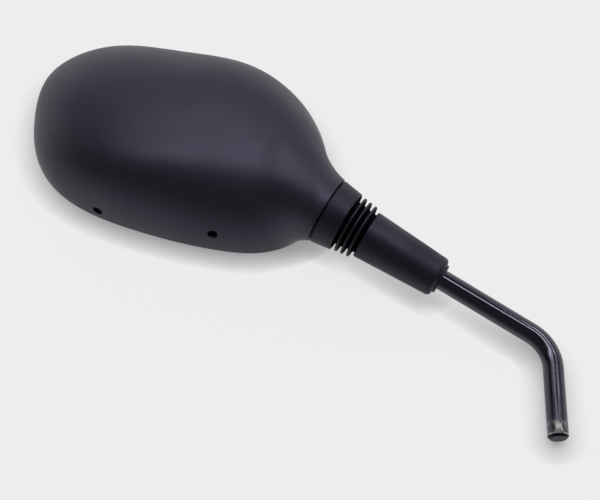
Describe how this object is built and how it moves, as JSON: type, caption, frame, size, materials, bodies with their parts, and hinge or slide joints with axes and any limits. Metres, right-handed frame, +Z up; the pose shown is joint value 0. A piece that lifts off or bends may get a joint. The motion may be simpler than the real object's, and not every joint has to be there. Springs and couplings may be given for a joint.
{
  "type": "motorcycle mirror",
  "caption": "Handlebar rear-view mirror for the rider's right: convex glass in an oval black housing on a friction ball joint with a rubber boot and a bent round stem.",
  "frame": {"origin": "on the stem's axis where its straight foot reaches full diameter, just above the end chamfer", "axes": "+Z up along the stem's straight foot, +X outboard towards the head, +Y forward; the glass faces back along -Y"},
  "size_m": [0.2582, 0.0385, 0.2132],
  "materials": {
    "housing_plastic": "fine satin grain",
    "carrier_plastic": "plain moulded",
    "boot_rubber": "matte",
    "gasket_rubber": "matte",
    "stem_paint": "gloss black, worn bare at the foot",
    "nylon": "natural",
    "steel": "zinc plated",
    "foam": "closed-cell foam",
    "mirror": "polished"
  },
  "bodies": {
    "stem": {"stem_rod": "stem_paint", "ball": "steel", "boot": "boot_rubber"},
    "front_shell": {"front_liner": "nylon"},
    "back_shell": {"back_liner": "nylon"},
    "head": {"housing": "housing_plastic", "pressure_cup": "nylon", "friction_spring": "steel", "spring_washer": "steel", "circlip": "steel", "carrier_plate": "carrier_plastic", "carrier_screws": "steel", "glass_pad": "foam", "mirror_glass": "mirror", "rim_gasket": "gasket_rubber"}
  },
  "joints": [
    {"name": "neck_swing", "type": "hinge", "parent": "stem", "child": "front_shell", "pos_m": [0.1027, 0.01553, 0.10687], "axis": [-0.5148, 0, 0.8573], "range_deg": [-12, 12], "deforming": ["boot"]},
    {"name": "neck_rock", "type": "hinge", "parent": "front_shell", "child": "back_shell", "pos_m": [0.1027, 0.01553, 0.10687], "axis": [0.1102, -0.9917, 0.0662], "range_deg": [-12, 12], "deforming": ["boot"]},
    {"name": "neck_twist", "type": "hinge", "parent": "back_shell", "child": "head", "pos_m": [0.1027, 0.01553, 0.10687], "axis": [0.8502, 0.1286, 0.5105], "range_deg": [-20, 20], "deforming": ["boot"]}
  ]
}
